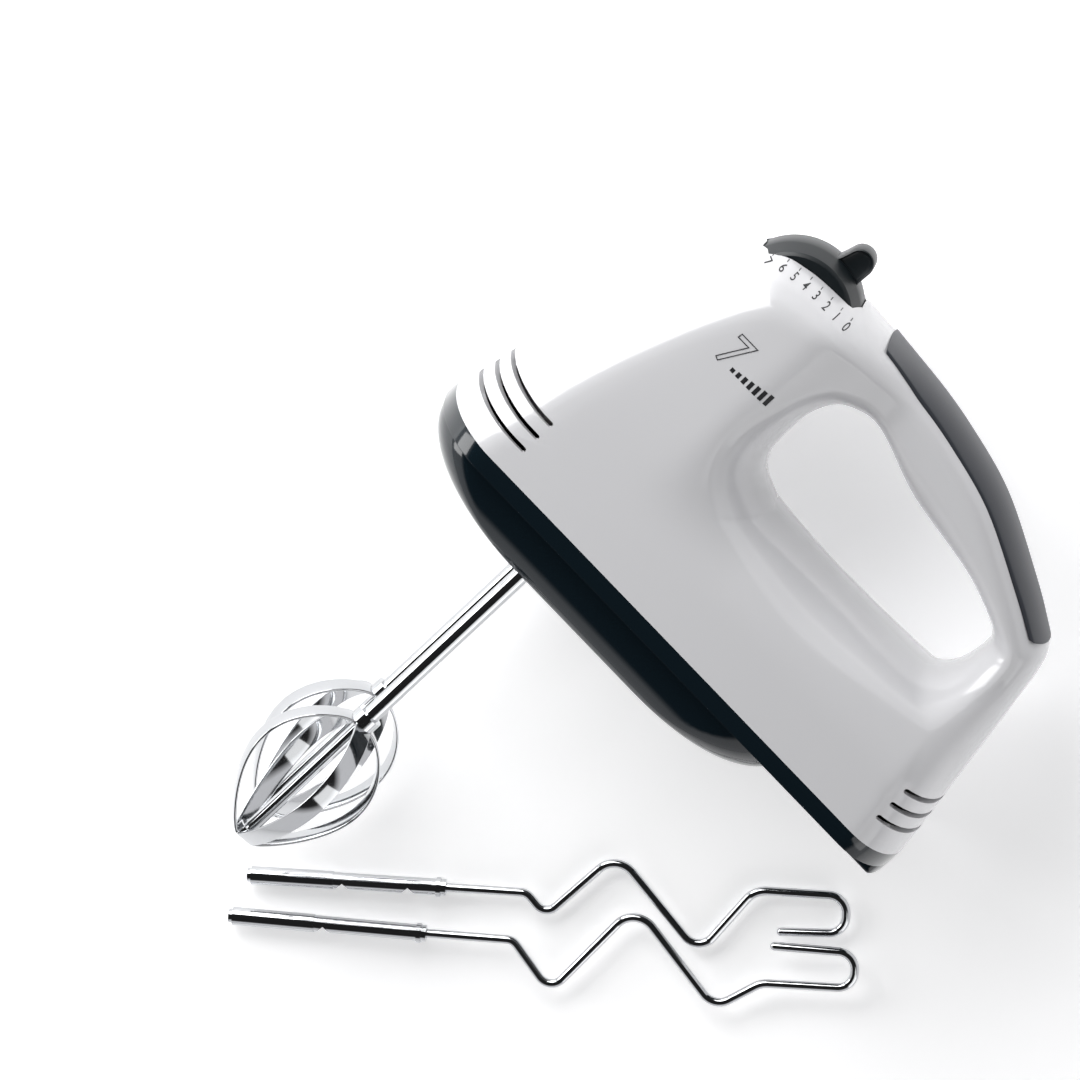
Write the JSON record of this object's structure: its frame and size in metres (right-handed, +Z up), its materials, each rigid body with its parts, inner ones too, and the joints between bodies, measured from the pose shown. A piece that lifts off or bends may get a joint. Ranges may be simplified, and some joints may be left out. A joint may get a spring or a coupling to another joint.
{
  "type": "hand mixer",
  "caption": "Electric hand mixer with a closed top handle, a thumb speed selector that also ejects, wire beaters and spare dough hooks.",
  "frame": {"origin": "on the right flank, which is flat and rests on the table, below the point where the motor axis crosses the plane of the two spindles", "axes": "+X towards the heel, +Y towards the handle, +Z up from the table, out of the left flank"},
  "size_m": [0.2163, 0.2975, 0.078],
  "materials": {
    "white_housing": "gloss white",
    "charcoal_base": "gloss charcoal",
    "grey_grip": "satin grey",
    "slate_selector": "satin slate",
    "black_rubber": "matt",
    "black_plastic": "matt",
    "inner_plastic": "natural moulding",
    "nylon_gear": "natural nylon",
    "green_board": "solder mask",
    "yellow_film": "boxed film part",
    "zinc_steel": "zinc plated",
    "shaft_steel": "ground",
    "frame_metal": "cast",
    "core_steel": "laminated",
    "copper_wire": "enamelled copper",
    "brass_parts": "sintered bronze or brass",
    "carbon": "matt carbon",
    "chrome_steel": "bright chrome"
  },
  "bodies": {
    "housing": {"housing_left": "white_housing", "housing_right": "white_housing", "base_cover": "charcoal_base", "handle_grip": "grey_grip", "cord_gland": "black_rubber", "housing_screws": "zinc_steel", "base_screws": "zinc_steel", "ejector_spring": "zinc_steel", "switch_block": "black_plastic", "switch_contacts": "brass_parts", "circuit_board": "green_board", "suppressor": "yellow_film", "terminal_block": "inner_plastic", "gearbox_base": "inner_plastic", "gearbox_cover": "inner_plastic", "gearbox_screws": "zinc_steel", "spindle_bushes": "brass_parts", "motor_frame": "frame_metal", "stator_core": "core_steel", "field_coils": "copper_wire", "shaft_bushes": "brass_parts", "motor_screws": "zinc_steel", "brush_holders": "brass_parts", "carbon_brushes": "carbon", "brush_springs": "zinc_steel"},
    "ejector": {"ejector_carriage": "inner_plastic", "ejector_fork": "zinc_steel", "selector_pin": "zinc_steel", "detent_spring": "zinc_steel"},
    "selector": {"speed_selector": "slate_selector"},
    "rotor": {"rotor_shaft": "shaft_steel", "worm": "shaft_steel", "cooling_fan": "inner_plastic", "armature_core": "core_steel", "armature_windings": "copper_wire", "commutator": "copper_wire"},
    "left_spindle": {"spindle_left": "shaft_steel", "gear_left": "nylon_gear", "circlip_left": "zinc_steel"},
    "right_spindle": {"spindle_right": "shaft_steel", "gear_right": "nylon_gear", "circlip_right": "zinc_steel"},
    "left_beater": {"beater_left_shaft": "chrome_steel", "beater_left_head": "chrome_steel", "beater_left_collar": "chrome_steel"},
    "right_beater": {"beater_right_shaft": "chrome_steel", "beater_right_head": "chrome_steel", "beater_right_collar": "chrome_steel"},
    "left_dough_hook": {"dough_hook_left_shank": "chrome_steel", "dough_hook_left_wire": "chrome_steel"},
    "right_dough_hook": {"dough_hook_right_shank": "chrome_steel", "dough_hook_right_wire": "chrome_steel"}
  },
  "joints": [
    {"name": "eject_press", "type": "slide", "parent": "housing", "child": "ejector", "axis": [0, -1, 0], "range_m": [0, 0.004], "stiffness_N_per_m": 900, "springref_m": -0.004, "deforming": ["ejector_spring"]},
    {"name": "speed_select", "type": "hinge", "parent": "ejector", "child": "selector", "pos_m": [-0.002, 0.0753, 0.039], "axis": [0, 0, 1], "range_deg": [0, 34]},
    {"name": "motor_spin", "type": "hinge", "parent": "housing", "child": "rotor", "pos_m": [0, 0, 0.039], "axis": [1, 0, 0], "continuous": true},
    {"name": "left_spin", "type": "hinge", "parent": "housing", "child": "left_spindle", "pos_m": [0, 0, 0.057], "axis": [0, 1, 0], "continuous": true},
    {"name": "right_spin", "type": "hinge", "parent": "housing", "child": "right_spindle", "pos_m": [0, 0, 0.021], "axis": [0, 1, 0], "continuous": true},
    {"name": "left_release", "type": "slide", "parent": "left_spindle", "child": "left_beater", "axis": [0, -1, 0], "range_m": [0, 0.045]},
    {"name": "right_release", "type": "slide", "parent": "right_spindle", "child": "right_beater", "axis": [0, -1, 0], "range_m": [0, 0.045]},
    {"name": "left_hook_lift", "type": "slide", "parent": "housing", "child": "left_dough_hook", "axis": [0, 0, 1], "range_m": [0, 0.12]},
    {"name": "right_hook_lift", "type": "slide", "parent": "housing", "child": "right_dough_hook", "axis": [0, 0, 1], "range_m": [0, 0.12]}
  ],
  "couplings": [
    {"joint": "left_spin", "follows": "motor_spin", "ratio": 0.041667},
    {"joint": "right_spin", "follows": "motor_spin", "ratio": -0.041667}
  ]
}
